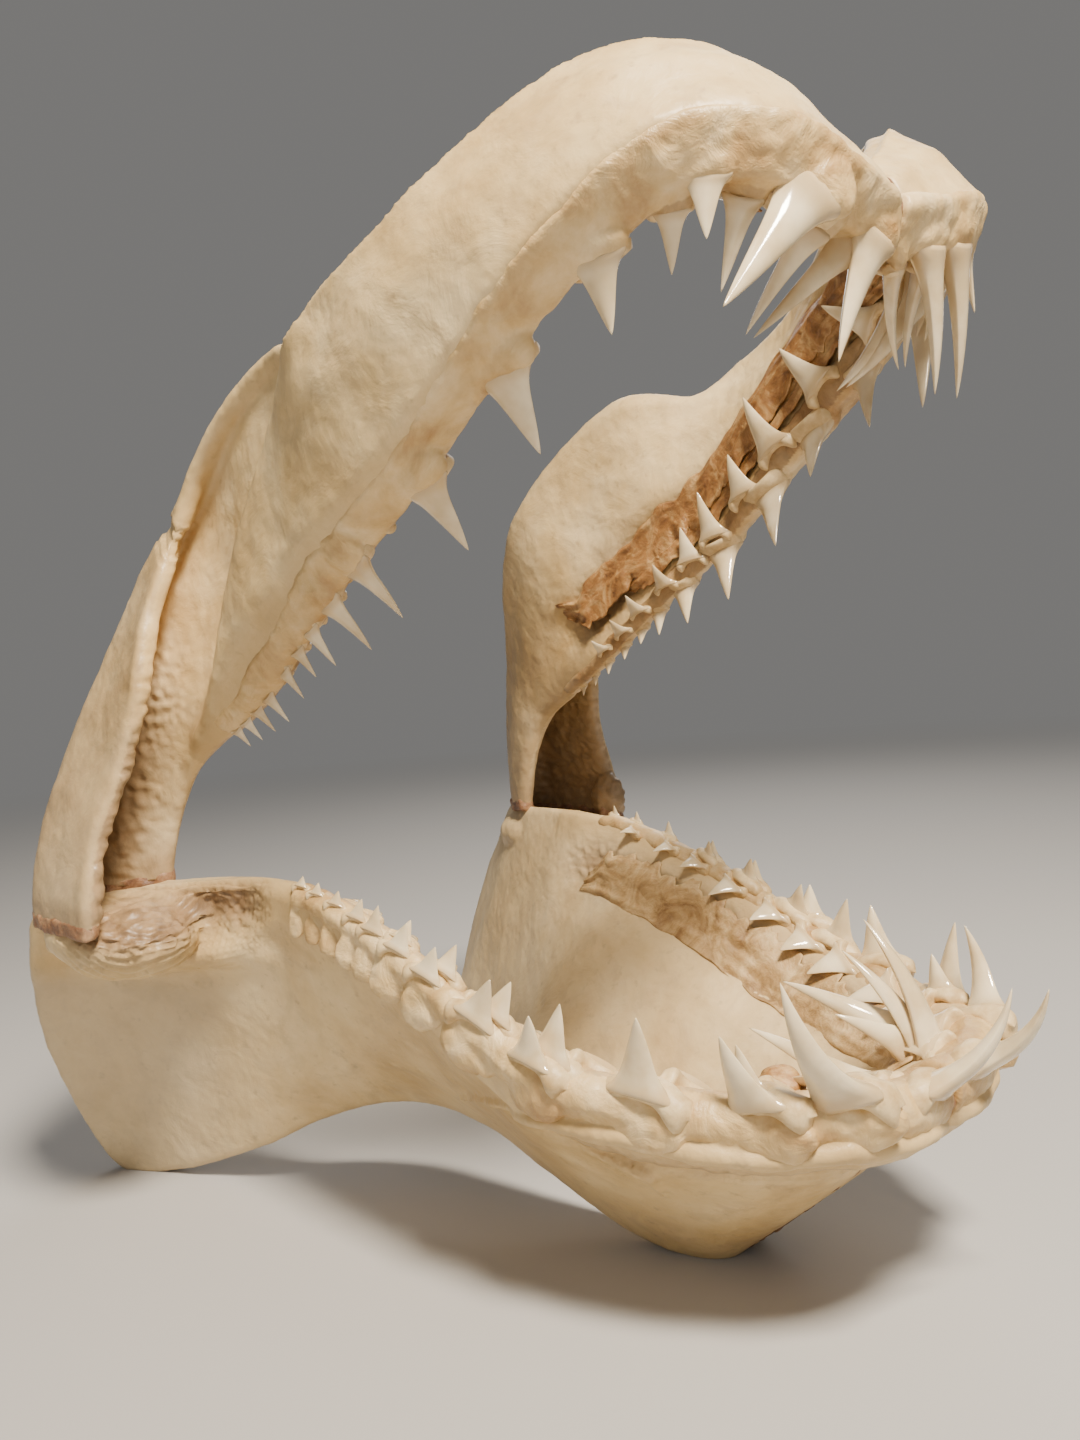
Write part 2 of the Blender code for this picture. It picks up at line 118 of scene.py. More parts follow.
# One row per tooth: station, distance from the margin to the tip, crown width, neck above the margin,
# inward lean, backward lean, inward curve, distance set in from the outer row.
UPPER_RIGHT = (
    (0.25, 32, 14, 2.0, 0.73, 0.39, 0.02, 0),
    (1.67, 41, 17, 2.0, 0.58, 0.86, 0.02, 0),
    (2.81, 14, 11, 1.0, 0.48, 0.59, 0.0, 0),
    (3.87, 18, 14, 2.0, 0.31, 0.66, 0.02, 0),
    (4.98, 22.5, 17, 2.0, 0.34, 0.42, 0.02, 0),
    (6.03, 21.5, 16.5, 2.0, 0.44, 0.17, 0.02, 0),
    (7.16, 19.5, 14.5, 1.5, 0.69, -0.04, 0.02, 0),
    (8.0, 18, 12, 1.5, 0.72, -0.09, 0.02, 0),
    (8.56, 13, 9, 1.0, 0.6, 0.02, 0.0, 0),
    (8.97, 10, 7.5, 1.0, 0.57, 0.03, 0.0, 0),
    (9.41, 10.5, 7, 1.0, 0.54, 0.07, 0.0, 0),
    (9.97, 10.5, 6.5, 1.0, 0.59, 0.0, 0.0, 0),
    (10.3, 9.3, 5.5, 1.0, 0.6, -0.05, 0.0, 0),
    (10.6, 8.5, 5, 1.0, 0.6, -0.06, 0.0, 0),
    (10.85, 7.5, 4.5, 1.0, 0.59, -0.03, 0.0, 0),
)
UPPER_LEFT = (
    (0.98, 35.5, 14, 2.0, 0.75, 0.2, -0.03, 0),
    (1.6, 38.4, 14, 2.0, 0.88, 0.24, -0.03, 0),
    (2.6, 16, 11, 1.0, 0.5, 0.3, 0.0, 0),
    (3.53, 37, 17, 2.0, 0.7, 0.27, 0.0, 0),
    (4.43, 22, 14, 2.0, 0.34, 0.25, 0.02, 0),
    (5.2, 19.6, 16, 2.0, 0.38, 0.09, 0.02, 0),
    (5.93, 25, 16, 2.0, 0.29, -0.12, 0.02, 0),
    (6.88, 21.3, 14.5, 1.5, 0.4, -0.13, 0.02, 0),
    (7.9, 15.5, 12, 1.5, 0.43, 0.0, 0.02, 0),
    (8.55, 10, 9, 1.0, 0.5, 0.1, 0.0, 0),
    (9.0, 7, 7.5, 1.0, 0.62, 0.2, 0.0, 0),
    (9.45, 6.5, 6.5, 1.0, 0.64, 0.2, 0.0, 0),
    (9.9, 6, 6, 1.0, 0.65, 0.2, 0.0, 0),
    (10.3, 5.5, 5, 1.0, 0.65, 0.2, 0.0, 0),
    (10.7, 5, 4.5, 1.0, 0.65, 0.1, 0.0, 0),
)
LOWER_RIGHT = (
    (0.67, 32, 14, 3.0, 0.32, -0.38, -0.12, 0),
    (2.1, 37, 17, 4.0, 0.56, 0.9, -0.15, 0),
    (3.08, 21.5, 17, 3.0, 0.5, 0.92, -0.05, 0),
    (4.16, 21.5, 17.5, 3.0, 0.66, 0.51, 0.03, 0),
    (5.17, 14.5, 15, 2.5, 0.68, 0.48, 0.03, 0),
    (6.0, 14.5, 13.5, 2.0, 0.8, 0.04, 0.03, 0),
    (6.83, 10.5, 11, 1.5, 0.79, 0.1, 0.02, 0),
    (7.35, 9.8, 9.5, 1.5, 0.8, 0.0, 0.02, 0),
    (7.8, 8.8, 8, 1.0, 0.7, 0.07, 0.0, 0),
    (8.12, 7, 7, 1.0, 0.7, 0.0, 0.0, 0),
    (8.54, 5.3, 6, 1.0, 0.6, 0.03, 0.0, 0),
    (8.95, 4.6, 5.5, 0.8, 0.5, 0.1, 0.0, 0),
    (9.35, 4.2, 5, 0.8, 0.5, 0.1, 0.0, 0),
)
LOWER_LEFT = (
    (0.71, 32.6, 14, 3.0, 0.15, -0.22, -0.12, 0),
    (2.3, 27, 15, 3.0, 0.85, 0.98, -0.1, 0),
    (3.3, 23, 15, 3.0, 0.6, 0.5, 0.03, 0),
    (4.45, 20, 16, 3.0, 0.8, 1.0, 0.03, 0),
    (5.65, 13, 13, 2.5, 0.76, 0.75, 0.03, 0),
    (6.7, 9, 11, 1.5, 0.8, 0.4, 0.02, 0),
    (7.42, 7.5, 9, 1.5, 0.8, 0.3, 0.02, 0),
    (8.2, 6.6, 8, 1.0, 0.8, 0.17, 0.0, 0),
    (8.88, 5, 6.5, 1.0, 0.73, 0.1, 0.0, 0),
    (9.4, 5, 5.5, 1.0, 0.7, 0.1, 0.0, 0),
)
# Replacement teeth close behind the working ones, in the same columns.
UPPER_SPARE = (
    (0.5, 34, 10, 1.0, 1.3, 1.15, 0.04, 5),
    (1.25, 28, 10, 1.0, 1.5, 0.5, 0.04, 6),
    (2.4, 20, 9, 1.0, 1.3, 0.7, 0.03, 6),
    (3.2, 14, 9, 1.0, 1.0, 0.9, 0.03, 5),
)
LOWER_SPARE = (
    (3.2, 12, 12, 1.0, 0.9, 0.95, 0.02, 5),
    (5.05, 15, 14, 1.0, 0.95, 0.3, 0.02, 4),
    (5.85, 11, 12, 1.0, 1.3, 0.1, 0.02, 4),
    (6.7, 9, 10, 1.0, 1.3, 0.1, 0.02, 4),
    (7.4, 7, 8, 1.0, 1.3, 0.0, 0.02, 3),
)
# Replacement teeth lying in the trench behind the rows: station, distances of base and tip from the
# margin along the inner face, crown width, drift of the tip towards the joint.
UPPER_TRENCH = (
    (2.0, 7, 25, 12, 6), (3.0, 7, 21, 12, 5), (3.9, 6, 20, 13, 3), (4.7, 6, 21, 14, 2), (5.5, 6, 24, 15, 1),
    (6.25, 5, 18, 14, 0), (6.95, 5, 19, 12, 1), (7.6, 5, 15, 11, 0), (8.2, 4, 12, 10, 0), (8.75, 4, 10, 9, 0),
    (9.25, 3, 8, 8, 0), (9.7, 3, 7, 7, 0),
)
LOWER_TRENCH = (
    (1.0, 9, 24, 12, 6), (1.9, 9, 23, 13, 8), (2.8, 8, 20, 14, 6), (3.7, 7, 18, 15, 3), (4.6, 6, 17, 15, 1),
    (5.35, 6, 15, 14, 0), (6.1, 5, 13, 13, 0), (6.8, 5, 12, 11, 0), (7.4, 4, 10, 10, 0), (8.0, 3, 8, 8, 0),
    (8.5, 3, 7, 7, 0),
)
# Rolled edges of skin on the outer face of the lower jaw: station, distance from the margin, radius.
LOWER_FOLDS = (
    ((0.05, 8, 1.8), (1, 8, 2.2), (2, 8.5, 2.4), (3, 10, 2.4), (4, 9.5, 2.3), (4.6, 11, 2.1), (5.1, 17, 2.0),
     (5.5, 31, 1.8), (6, 45, 1.6), (6.4, 60, 1.0)),
    ((3.4, 52, 0.9), (3.55, 45, 1.7), (3.8, 38, 2.1), (4.3, 33, 2.1), (5, 25, 1.7), (5.3, 22, 0.9)),
)
# Dried flaps on the inner faces: name, first and last station, distance from the margin, reach, rise.
UPPER_FLAPS = (("upper_flap_", 0.8, 10.2, 28, 15, 3.2), ("upper_inner_flap_", 2.6, 9.0, 17, 9, 2.2))
LOWER_FLAPS = (("lower_flap_", 0.4, 9.2, 31, 19, 1.8),)
# Long replacement teeth standing free behind the front rows: base, tip and crown width.
LOWER_FREE = (
    ((-17, 199, 66), (-16, 180, 102), 15),
    ((-18, 197, 66), (-11, 176, 94), 14),
    ((-16, 190, 72), (-6, 160, 84), 13),
    ((-15, 192, 70), (0, 180, 80), 12),
    ((12, 196, 66), (24, 170, 81), 13),
)
UPPER_FREE = (
    ((-40, 190, 268), (-26, 175, 244), 13),
    ((-40, 186, 271), (-23, 174, 243), 13),
)


def smooth(rows, at):
    """Values of a table between its rows, at counted in rows."""
    last = len(rows) - 1
    i = min(int(at), last - 1)
    f = at - i
    a, b = rows[i], rows[i + 1]
    before = rows[i - 1] if i else 2 * a - b
    after = rows[i + 2] if i + 2 <= last else 2 * b - a
    cubic = 3 * (a - b) + after - before
    square = 2 * before - 5 * a + 4 * b - after
    return a + 0.5 * f * (b - before + f * (square + f * cubic))


def ease(low, high, x):
    f = np.clip((x - low) / (high - low), 0.0, 1.0)
    return f * f * (3 - 2 * f)


def bump(x, middle, half):
    f = np.clip(np.abs(x - middle) / half, 0, 1)
    return (1 - f * f) ** 2


def unit(v):
    return v / np.linalg.norm(v)


def jaw_frame(rows, at, turn):
    """Margin point, chord direction and length, outward direction and direction of travel."""
    step = 0.05
    row = smooth(rows, at)
    ahead = smooth(rows, min(at + step, len(rows) - 1))
    behind = smooth(rows, max(at - step, 0.0))
    travel = ahead[:3] + ahead[3:6] - behind[:3] - behind[3:6]
    length = np.linalg.norm(row[3:6] - row[:3])
    chord = (row[3:6] - row[:3]) / length
    out = unit(turn * np.cross(chord, travel))
    return row[:3], chord, length, out, unit(travel)


def upper_faces(row, s):
    bulge, inner, step, groove = row[6], row[7], row[8], row[12]
    rise = ease(-0.05, 0.2, s)
    fall = 1 - 0.7 * ease(0.55, 1.0, s) * ease(1.2, 1.6, step)
    before = 1 - ease(step - STEP_HALF, step + STEP_HALF, s)
    outer = WALL * (0.6 + 0.4 * rise) + bulge * rise * fall * before
    depth = WALL + (inner - WALL) * ease(-0.1, 0.4, s) * (1 - ease(0.5, 1.0, s))
    return outer, depth - groove * bump(s, 0.32, 0.2)


def lower_faces(row, s):
    bulge, inner, shelf, place, groove, hollow = row[6], row[7], row[8], row[9], row[11], row[12]
    hump = np.sin(np.pi * np.minimum(s, 1.0))
    rise = (0.4 + 0.6 * np.minimum(s / place, 1.0)) * (1 - ease(place, place + 0.1, s))
    outer = WALL + bulge * hump + shelf * rise - hollow * hump
    depth = WALL + (inner - WALL) * ease(-0.1, 0.3, s)
    return outer, depth - groove * bump(s, 0.3, 0.18)


# What each jaw's functions take: its table, its faces and the way round that its outside lies.
UPPER_JAW = (UPPER, upper_faces, 1)
LOWER_JAW = (LOWER, lower_faces, -1)


def section(rows, faces, turn, at):
    """Points round one cross-section and, for each, its place along the chord and its side."""
    row = smooth(rows, at)
    margin, chord, length, out, _ = jaw_frame(rows, at, turn)
    curl, radius, turned = (row[9], row[10], row[13]) if faces is upper_faces else (0, 1, 0)
    total = length + curl
    back = unit(chord * CURL_FLATTEN)
    t = np.linspace(0, 1, FACE_POINTS)
    distance = total * (1 - (1 - t) ** 1.2)
    outer, inner = faces(row, np.minimum(distance / length, 1.0))
    half = 0.5 * (outer + inner)
    nose = 0.9 * half
    thin = np.sqrt(np.maximum(1 - (np.maximum(distance - total + nose, 0.0) / nose) ** 2, 0.0))
    thin *= np.sqrt(1 - 0.9 * (np.maximum(nose - distance, 0.0) / nose) ** 2)
    middle = 0.5 * (outer - inner)
    bent = np.maximum(distance - length, 0.0)
    angle = np.minimum(bent / radius, math.radians(turned))
    straight = bent - angle * radius
    along = np.minimum(distance, length)
    past = radius * np.sin(angle) + straight * np.cos(angle)
    up = radius * (1 - np.cos(angle)) + straight * np.sin(angle)
    loops = []
    for side in (1, -1):
        offset = middle + side * half * thin
        x = past - offset * np.sin(angle)
        y = up + offset * np.cos(angle)
        loops.append(margin + np.outer(along, chord) + np.outer(x, back) + np.outer(y, out))
    ring = np.concatenate([loops[0], loops[1][-2::-1]])
    place = distance / length
    places = np.concatenate([place, place[-2::-1]])
    sides = np.concatenate([np.ones(FACE_POINTS), -np.ones(FACE_POINTS - 1)])
    if at == 0:
        ring[:, 0] = MIDLINE
    return ring, places, sides


class Shape:
    """Points in millimetres with faces, gathered before they become one mesh."""

    def __init__(self):
        self.points, self.faces, self.count = [], [], 0

    def add(self, points, faces):
        self.points.append(np.asarray(points, float))
        self.faces.extend(tuple(i + self.count for i in face) for face in faces)
        self.count += len(points)

    def loft(self, rings):
        """Skin over a row of rings, closed at both ends."""
        size = len(rings[0])
        last = (len(rings) - 1) * size
        faces = []
        for a in range(0, last, size):
            b = a + size
            for k in range(size):
                j = (k + 1) % size
                faces.append((a + k, a + j, b + j, b + k))
        faces.append(tuple(range(size))[::-1])
        faces.append(tuple(range(last, last + size)))
        self.add(np.concatenate(rings), faces)

    def ball(self, middle, radii):
        points, faces = unit_ball()
        self.add(points * np.asarray(radii, float) + np.asarray(middle, float), faces)

    def all_points(self):
        return np.concatenate(self.points)


def unit_ball():
    mesh = bmesh.new()
    bmesh.ops.create_icosphere(mesh, subdivisions=3, radius=1.0)
    mesh.verts.ensure_lookup_table()
    points = np.array([v.co for v in mesh.verts])
    faces = [[v.index for v in f.verts] for f in mesh.faces]
    mesh.free()
    return points, faces


def place(points, side=1):
    """Table millimetres to frame metres."""
    x, y, z = points[:, 0], points[:, 1], points[:, 2]
    reach = y - REAR_REST
    forward = reach * LEVEL + z * LEAN + REAR_REST + Y_SHIFT
    return np.stack([x * side, forward, z * LEVEL - reach * LEAN], 1) * MM


def place_one(point):
    return Vector(place(np.array([point], float))[0])


def place_direction(x, y, z):
    """A direction of the tables in the frame."""
    return Vector((x, y * LEVEL + z * LEAN, z * LEVEL - y * LEAN))


def clean(data):
    """Joins points that coincide and turns the faces outward."""
    mesh = bmesh.new()
    mesh.from_mesh(data)
    bmesh.ops.remove_doubles(mesh, verts=mesh.verts, dist=1e-6)
    bmesh.ops.recalc_face_normals(mesh, faces=mesh.faces)
    if mesh.calc_volume(signed=True) < 0:
        bmesh.ops.reverse_faces(mesh, faces=mesh.faces)
    mesh.to_mesh(data)
    mesh.free()


def new_object(name, data):
    obj = bpy.data.objects.new(name, data)
    bpy.context.scene.collection.objects.link(obj)
    return obj


def finish_object(name, data, material):
    obj = new_object(name, data)
    materials = material if isinstance(material, (list, tuple)) else [material]
    for one in materials:
        data.materials.append(one)
    data.shade_smooth()
    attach(obj, "root")
    return obj


def skinned(name, data, voxel, smoothing):
    """One closed skin round all the pieces of a mesh in metres, which is used up."""
    clean(data)
    obj = new_object(name + "_raw", data)
    skin = obj.modifiers.new("skin", "REMESH")
    skin.mode = "VOXEL"
    skin.voxel_size = voxel * MM
    relax = obj.modifiers.new("relax", "SMOOTH")
    relax.factor = 0.5
    relax.iterations = smoothing
    graph = bpy.context.evaluated_depsgraph_get()
    made = bpy.data.meshes.new_from_object(obj.evaluated_get(graph))
    made.name = name
    bpy.data.objects.remove(obj)
    bpy.data.meshes.remove(data)
    return made


def remeshed(name, shape, side, voxel, smoothing):
    data = bpy.data.meshes.new(name + "_raw")
    data.from_pydata(place(shape.all_points(), side).tolist(), [], shape.faces)
    return skinned(name, data, voxel, smoothing)


def vectors(data, key):
    flat = np.empty(len(data.vertices) * 3, np.float32)
    data.vertices.foreach_get(key, flat)
    return flat.reshape(-1, 3).astype(float)


def pushed(points, data, shift):
    """Points moved along the mesh's normals by a shift in millimetres."""
    return points + vectors(data, "normal") * (shift * MM)[:, None]


def set_coordinates(data, points):
    data.vertices.foreach_set("co", points.astype(np.float32).ravel())
    data.update()


def noise_at(points, size, seed):
    """Smooth noise in -1..1 at points in metres; size is in millimetres."""
    scaled = points / (size * MM) + seed * 17.3
    return np.array([noise.noise(p) for p in scaled.tolist()])


def add_attribute(data, name, values):
    """A share from 0 to 1 for each vertex, which the materials read."""
    layer = data.attributes.new(name, "FLOAT", "POINT")
    layer.data.foreach_set("value", np.clip(values, 0, 1).astype(np.float32))


def chart(rows, faces, turn):
    """Loft of one jaw half with the station, place and side of every point."""
    rings, stations, places, sides = [], [], [], []
    for k in range((len(rows) - 1) * RINGS_PER_ROW + 1):
        at = k / RINGS_PER_ROW
        ring, s, side = section(rows, faces, turn, at)
        rings.append(ring)
        stations.append(np.full(len(ring), at))
        places.append(s)
        sides.append(side)
    return rings, np.concatenate(stations), np.concatenate(places), np.concatenate(sides)


def look_up(points, chart_points, values):
    """For each point, the values of the nearest charted point."""
    tree = kdtree.KDTree(len(chart_points))
    for i, p in enumerate(chart_points.tolist()):
        tree.insert(p, i)
    tree.balance()
    nearest = np.array([tree.find(p)[1] for p in points.tolist()])
    return [v[nearest] for v in values]


# Materials


class Nodes:
    """Short calls for building a material's node tree."""

    def __init__(self, name):
        self.material = bpy.data.materials.new(name)
        self.material.use_nodes = True
        self.tree = self.material.node_tree
        self.shader = self.tree.nodes["Principled BSDF"]
        self.coords = self.tree.nodes.new("ShaderNodeTexCoord").outputs["Object"]

    def link(self, a, b):
        self.tree.links.new(a, b)

    def put(self, value, socket):
        if isinstance(value, (int, float, tuple)):
            socket.default_value = value
        else:
            self.link(value, socket)

    def noise(self, scale, detail=4.0, rough=0.55, distortion=0.0):
        node = self.tree.nodes.new("ShaderNodeTexNoise")
        node.inputs["Scale"].default_value = scale
        node.inputs["Detail"].default_value = detail
        node.inputs["Roughness"].default_value = rough
        node.inputs["Distortion"].default_value = distortion
        self.link(self.coords, node.inputs["Vector"])
        return node.outputs["Fac"]

    def voronoi(self, scale):
        node = self.tree.nodes.new("ShaderNodeTexVoronoi")
        node.inputs["Scale"].default_value = scale
        self.link(self.coords, node.inputs["Vector"])
        return node.outputs["Distance"]

    def ramp(self, value, stops):
        node = self.tree.nodes.new("ShaderNodeValToRGB")
        while len(node.color_ramp.elements) < len(stops):
            node.color_ramp.elements.new(0.5)
        for element, (position, colour) in zip(node.color_ramp.elements, stops):
            element.position = position
            element.color = (*colour, 1.0) if len(colour) == 3 else (colour[0],) * 3 + (1.0,)
        self.link(value, node.inputs["Fac"])
        return node.outputs["Color"]

    def attribute(self, name):
        node = self.tree.nodes.new("ShaderNodeAttribute")
        node.attribute_name = name
        return node.outputs["Fac"]

    def mix(self, factor, a, b):
        """Mixes two colours, which are the node's inputs 6 and 7."""
        node = self.tree.nodes.new("ShaderNodeMix")
        node.data_type = "RGBA"
        for value, index in ((factor, 0), (a, 6), (b, 7)):
            self.put((*value, 1.0) if isinstance(value, tuple) else value, node.inputs[index])
        return node.outputs[2]

    def times(self, a, b):
        node = self.tree.nodes.new("ShaderNodeMath")
        node.operation = "MULTIPLY"
        self.put(a, node.inputs[0])
        self.put(b, node.inputs[1])
        return node.outputs[0]

    def bump(self, height, strength, distance, after=None):
        node = self.tree.nodes.new("ShaderNodeBump")
        node.inputs["Strength"].default_value = strength
        node.inputs["Distance"].default_value = distance
        self.link(height, node.inputs["Height"])
        if after is not None:
            self.link(after, node.inputs["Normal"])
        return node.outputs["Normal"]

    def colour(self, value):
        self.link(value, self.shader.inputs["Base Color"])

    def set(self, **values):
        for key, value in values.items():
            self.put(value, self.shader.inputs[key.replace("_", " ")])
        return self.material


def cartilage_material():
    n = Nodes("dried_cartilage")
    patches = n.noise(26, 5, 0.62, 0.3)
    base = n.ramp(patches, [(0.3, (0.50, 0.33, 0.13)), (0.48, (0.68, 0.49, 0.23)), (0.7, (0.80, 0.62, 0.35))])
    clouds = n.noise(75, 5, 0.6, 0.8)
    base = n.mix(n.ramp(clouds, [(0.5, (0.0,)), (0.75, (0.5,))]), base, (0.42, 0.29, 0.15))
    specks = n.noise(260, 3, 0.6)
    base = n.mix(n.ramp(specks, [(0.6, (0.0,)), (0.75, (0.4,))]), base, (0.30, 0.19, 0.10))
    grey = n.attribute("grey")
    base = n.mix(grey, base, (0.50, 0.42, 0.30))
    yellow = n.attribute("yellow")
    base = n.mix(n.times(yellow, 0.7), base, (0.52, 0.36, 0.16))
    # Brown from the attribute: a stain in the upper trench, a browner groove behind the lower teeth, and
    # painted shade in the hollows by the joint, on the rear inner face and below the front ridge.
    stain_and_shade = n.attribute("stain_and_shade")
    streaks = n.noise(90, 6, 0.7, 1.0)
    brown = n.ramp(streaks, [(0.35, (0.10, 0.05, 0.025)), (0.6, (0.30, 0.18, 0.09))])
    base = n.mix(stain_and_shade, base, brown)
    fine = n.noise(500, 4, 0.6)
    normal = n.bump(fine, 0.15, 0.0006)
    normal = n.bump(n.noise(70, 6, 0.6, 0.6), 0.4, 0.0015, normal)
    pits = n.ramp(n.voronoi(420), [(0.0, (0.0,)), (0.22, (1.0,))])
    normal = n.bump(pits, 0.06, 0.0004, normal)
    n.colour(base)
    rough = n.ramp(patches, [(0.3, (0.36,)), (0.7, (0.5,))])
    return n.set(Roughness=rough, Normal=normal,
                 Subsurface_Weight=0.06, Subsurface_Radius=(0.01, 0.006, 0.003))


def gum_material():
    n = Nodes("dried_gum")
    patches = n.noise(60, 5, 0.6, 0.4)
    base = n.ramp(patches, [(0.3, (0.38, 0.21, 0.07)), (0.5, (0.62, 0.43, 0.19)), (0.72, (0.80, 0.62, 0.36))])
    stain_and_shade = n.attribute("stain_and_shade")
    brown = n.ramp(n.noise(120, 5, 0.7, 1.2), [(0.35, (0.08, 0.035, 0.015)), (0.65, (0.30, 0.16, 0.065))])
    base = n.mix(stain_and_shade, base, brown)
    normal = n.bump(n.noise(300, 5, 0.65, 0.5), 0.3, 0.0012)
    normal = n.bump(n.noise(110, 5, 0.6, 1.0), 0.5, 0.002, normal)
    n.colour(base)
    return n.set(Roughness=0.4, Normal=normal,
                 Subsurface_Weight=0.08, Subsurface_Radius=(0.01, 0.006, 0.003))


def enamel_material():
    n = Nodes("tooth_enamel")
    tint = n.ramp(n.noise(90, 3, 0.5), [(0.35, (0.62, 0.48, 0.28)), (0.65, (0.80, 0.68, 0.46))])
    low = n.attribute("low")
    tint = n.mix(n.times(low, 0.6), tint, (0.50, 0.34, 0.16))
    n.colour(tint)
    normal = n.bump(n.noise(240, 3, 0.5), 0.05, 0.0006)
    return n.set(Roughness=0.12, Normal=normal, Coat_Weight=0.5, Coat_Roughness=0.05,
                 Subsurface_Weight=0.15, Subsurface_Radius=(0.008, 0.006, 0.004))


def root_material():
    n = Nodes("tooth_root")
    base = n.ramp(n.noise(150, 5, 0.6), [(0.3, (0.46, 0.30, 0.12)), (0.65, (0.74, 0.57, 0.32))])
    n.colour(base)
    normal = n.bump(n.noise(500, 5, 0.65), 0.35, 0.0008)
    return n.set(Roughness=0.42, Normal=normal,
                 Subsurface_Weight=0.05, Subsurface_Radius=(0.01, 0.006, 0.003))


def membrane_material(name, dark, middle, light, rough):
    n = Nodes(name)
    base = n.ramp(n.noise(80, 6, 0.65, 1.5), [(0.3, dark), (0.5, middle), (0.7, light)])
    n.colour(base)
    normal = n.bump(n.noise(220, 6, 0.7, 1.0), 0.5, 0.002)
    return n.set(Roughness=rough, Normal=normal,
                 Subsurface_Weight=0.15, Subsurface_Radius=(0.01, 0.005, 0.002))


CARTILAGE = cartilage_material()
GUM = gum_material()
ENAMEL = enamel_material()
ROOT = root_material()
MEMBRANE = membrane_material(
    "amber_membrane", (0.13, 0.05, 0.015), (0.33, 0.16, 0.05), (0.60, 0.39, 0.17), 0.34)
STRIP = membrane_material(
    "fibrous_strip", (0.22, 0.12, 0.045), (0.46, 0.30, 0.13), (0.66, 0.48, 0.25), 0.5)
LIGAMENT = membrane_material(
    "dried_ligament", (0.10, 0.045, 0.025), (0.24, 0.12, 0.06), (0.42, 0.26, 0.14), 0.45)


# Cartilages


def lengths(rows):
    return np.linalg.norm(rows[:, 3:6] - rows[:, :3], axis=1)


def margin_distance(rows, at, s):
    """Millimetres from the tooth margin along the plate."""
    return s * np.interp(at, np.arange(len(rows)), lengths(rows))


def wrinkles(points, seed, size=5.0):
    """Noise drawn out across the jaw, as of skin that shrank."""
    stretched = points * np.array((0.6, 1.6, 2.2))
    return noise_at(stretched, size, seed)


def joint_height(points, side, drop):
    """Height over the joint plane in millimetres, for points in frame metres."""
    mm = points / MM
    y = mm[:, 1] - Y_SHIFT - REAR_REST
    z = mm[:, 2] * LEVEL + y * LEAN
    return z - (JOINT_Z - drop) + JOINT_SLOPE * (mm[:, 0] * side - JOINT_X)


def trim(data, point, normal):
    """Cuts the mesh with a plane given in table millimetres and closes it; returns the cut outlines."""
    mesh = bmesh.new()
    mesh.from_mesh(data)
    bmesh.ops.bisect_plane(
        mesh, geom=list(mesh.verts) + list(mesh.edges) + list(mesh.faces),
        plane_co=place_one(point), plane_no=place_direction(*normal), clear_outer=True,
    )
    rim = [edge for edge in mesh.edges if edge.is_boundary]
    caps = bmesh.ops.holes_fill(mesh, edges=rim, sides=0)["faces"]
    outlines = [np.array([vert.co for vert in face.verts]) for face in caps]
    mesh.to_mesh(data)
    mesh.free()
    data.shade_smooth()
    return outlines


def upper_cartilage(side, word):
    rings, stations, places, sides = chart(*UPPER_JAW)
    shape = Shape()
    shape.loft(rings)
    chart_points = place(shape.all_points(), side)
    if side < 0:
        shape.ball((112, 4, 111), (6, 8, 11))
    data = remeshed("palatoquadrate_" + word, shape, side, VOXEL, 6)
    points = vectors(data, "co")
    at, s, face = look_up(points, chart_points, (stations, places, sides))
    mm = margin_distance(UPPER, at, s)
    trough = ease(10.8, 12.2, at) * ease(0.05, 0.6, s) * (face > 0)
    trench = (face < 0) * bump(mm, 17, 13) * ease(1.5, 3.0, at) * (1 - ease(9.6, 10.6, at))
    inner = (face < 0) * ease(9.5, 11.5, at)
    rear = ease(12.0, 14.0, at)
    yellow = (1 - ease(0.05, 0.22, s)) * (at < 12) + 0.6 * ease(0.9, 1.05, s) * (at < 11)
    # Painted shade: brown in the rear trough of the outer face, low by the joint and on the rear of the inner
    # face; the trench behind the teeth carries a brown stain.
    stain_and_shade = np.maximum(0.7 * trough * ease(11.0, 13.0, at), 0.85 * trench)
    height = joint_height(points, side, 0)
    stain_and_shade = np.maximum(stain_and_shade, 0.55 * (1 - ease(2, 14, height)) * rear)
    stain_and_shade = np.maximum(stain_and_shade, 0.35 * inner)
    shift = 0.55 * noise_at(points, 24, 1) + 0.3 * noise_at(points, 7, 2) + 0.12 * noise_at(points, 2.6, 3)
    shift += 0.9 * trough * wrinkles(points, 3)
    shift += trench * (1.1 * wrinkles(points, 9, 3.5) - 2.2)
    scar = bump(at, 7.2, 1.6) * bump(s, 0.75, 0.4) * (face > 0)
    shift -= 1.3 * scar * (0.5 + noise_at(points, 11, 5))
    if side > 0:
        shift -= 2.0 * bump(at, 10.35, 0.28) * ease(1.0, 1.25, s)
    points = pushed(points, data, shift)
    low = joint_height(points, side, JOINT_CREEP)
    points[:, 2] = np.where(low < 0, points[:, 2] - low * MM, points[:, 2])
    set_coordinates(data, points)
    add_attribute(data, "yellow", yellow)
    add_attribute(data, "stain_and_shade", stain_and_shade)
    add_attribute(data, "grey", 0.3 * rear)
    outlines = trim(data, (JOINT_X * side, 0, JOINT_Z - JOINT_CREEP), (-JOINT_SLOPE * side, 0, -1))
    obj = finish_object("palatoquadrate_" + word + "_dried", data, CARTILAGE)
    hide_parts("palatoquadrate_" + word)
    return outlines


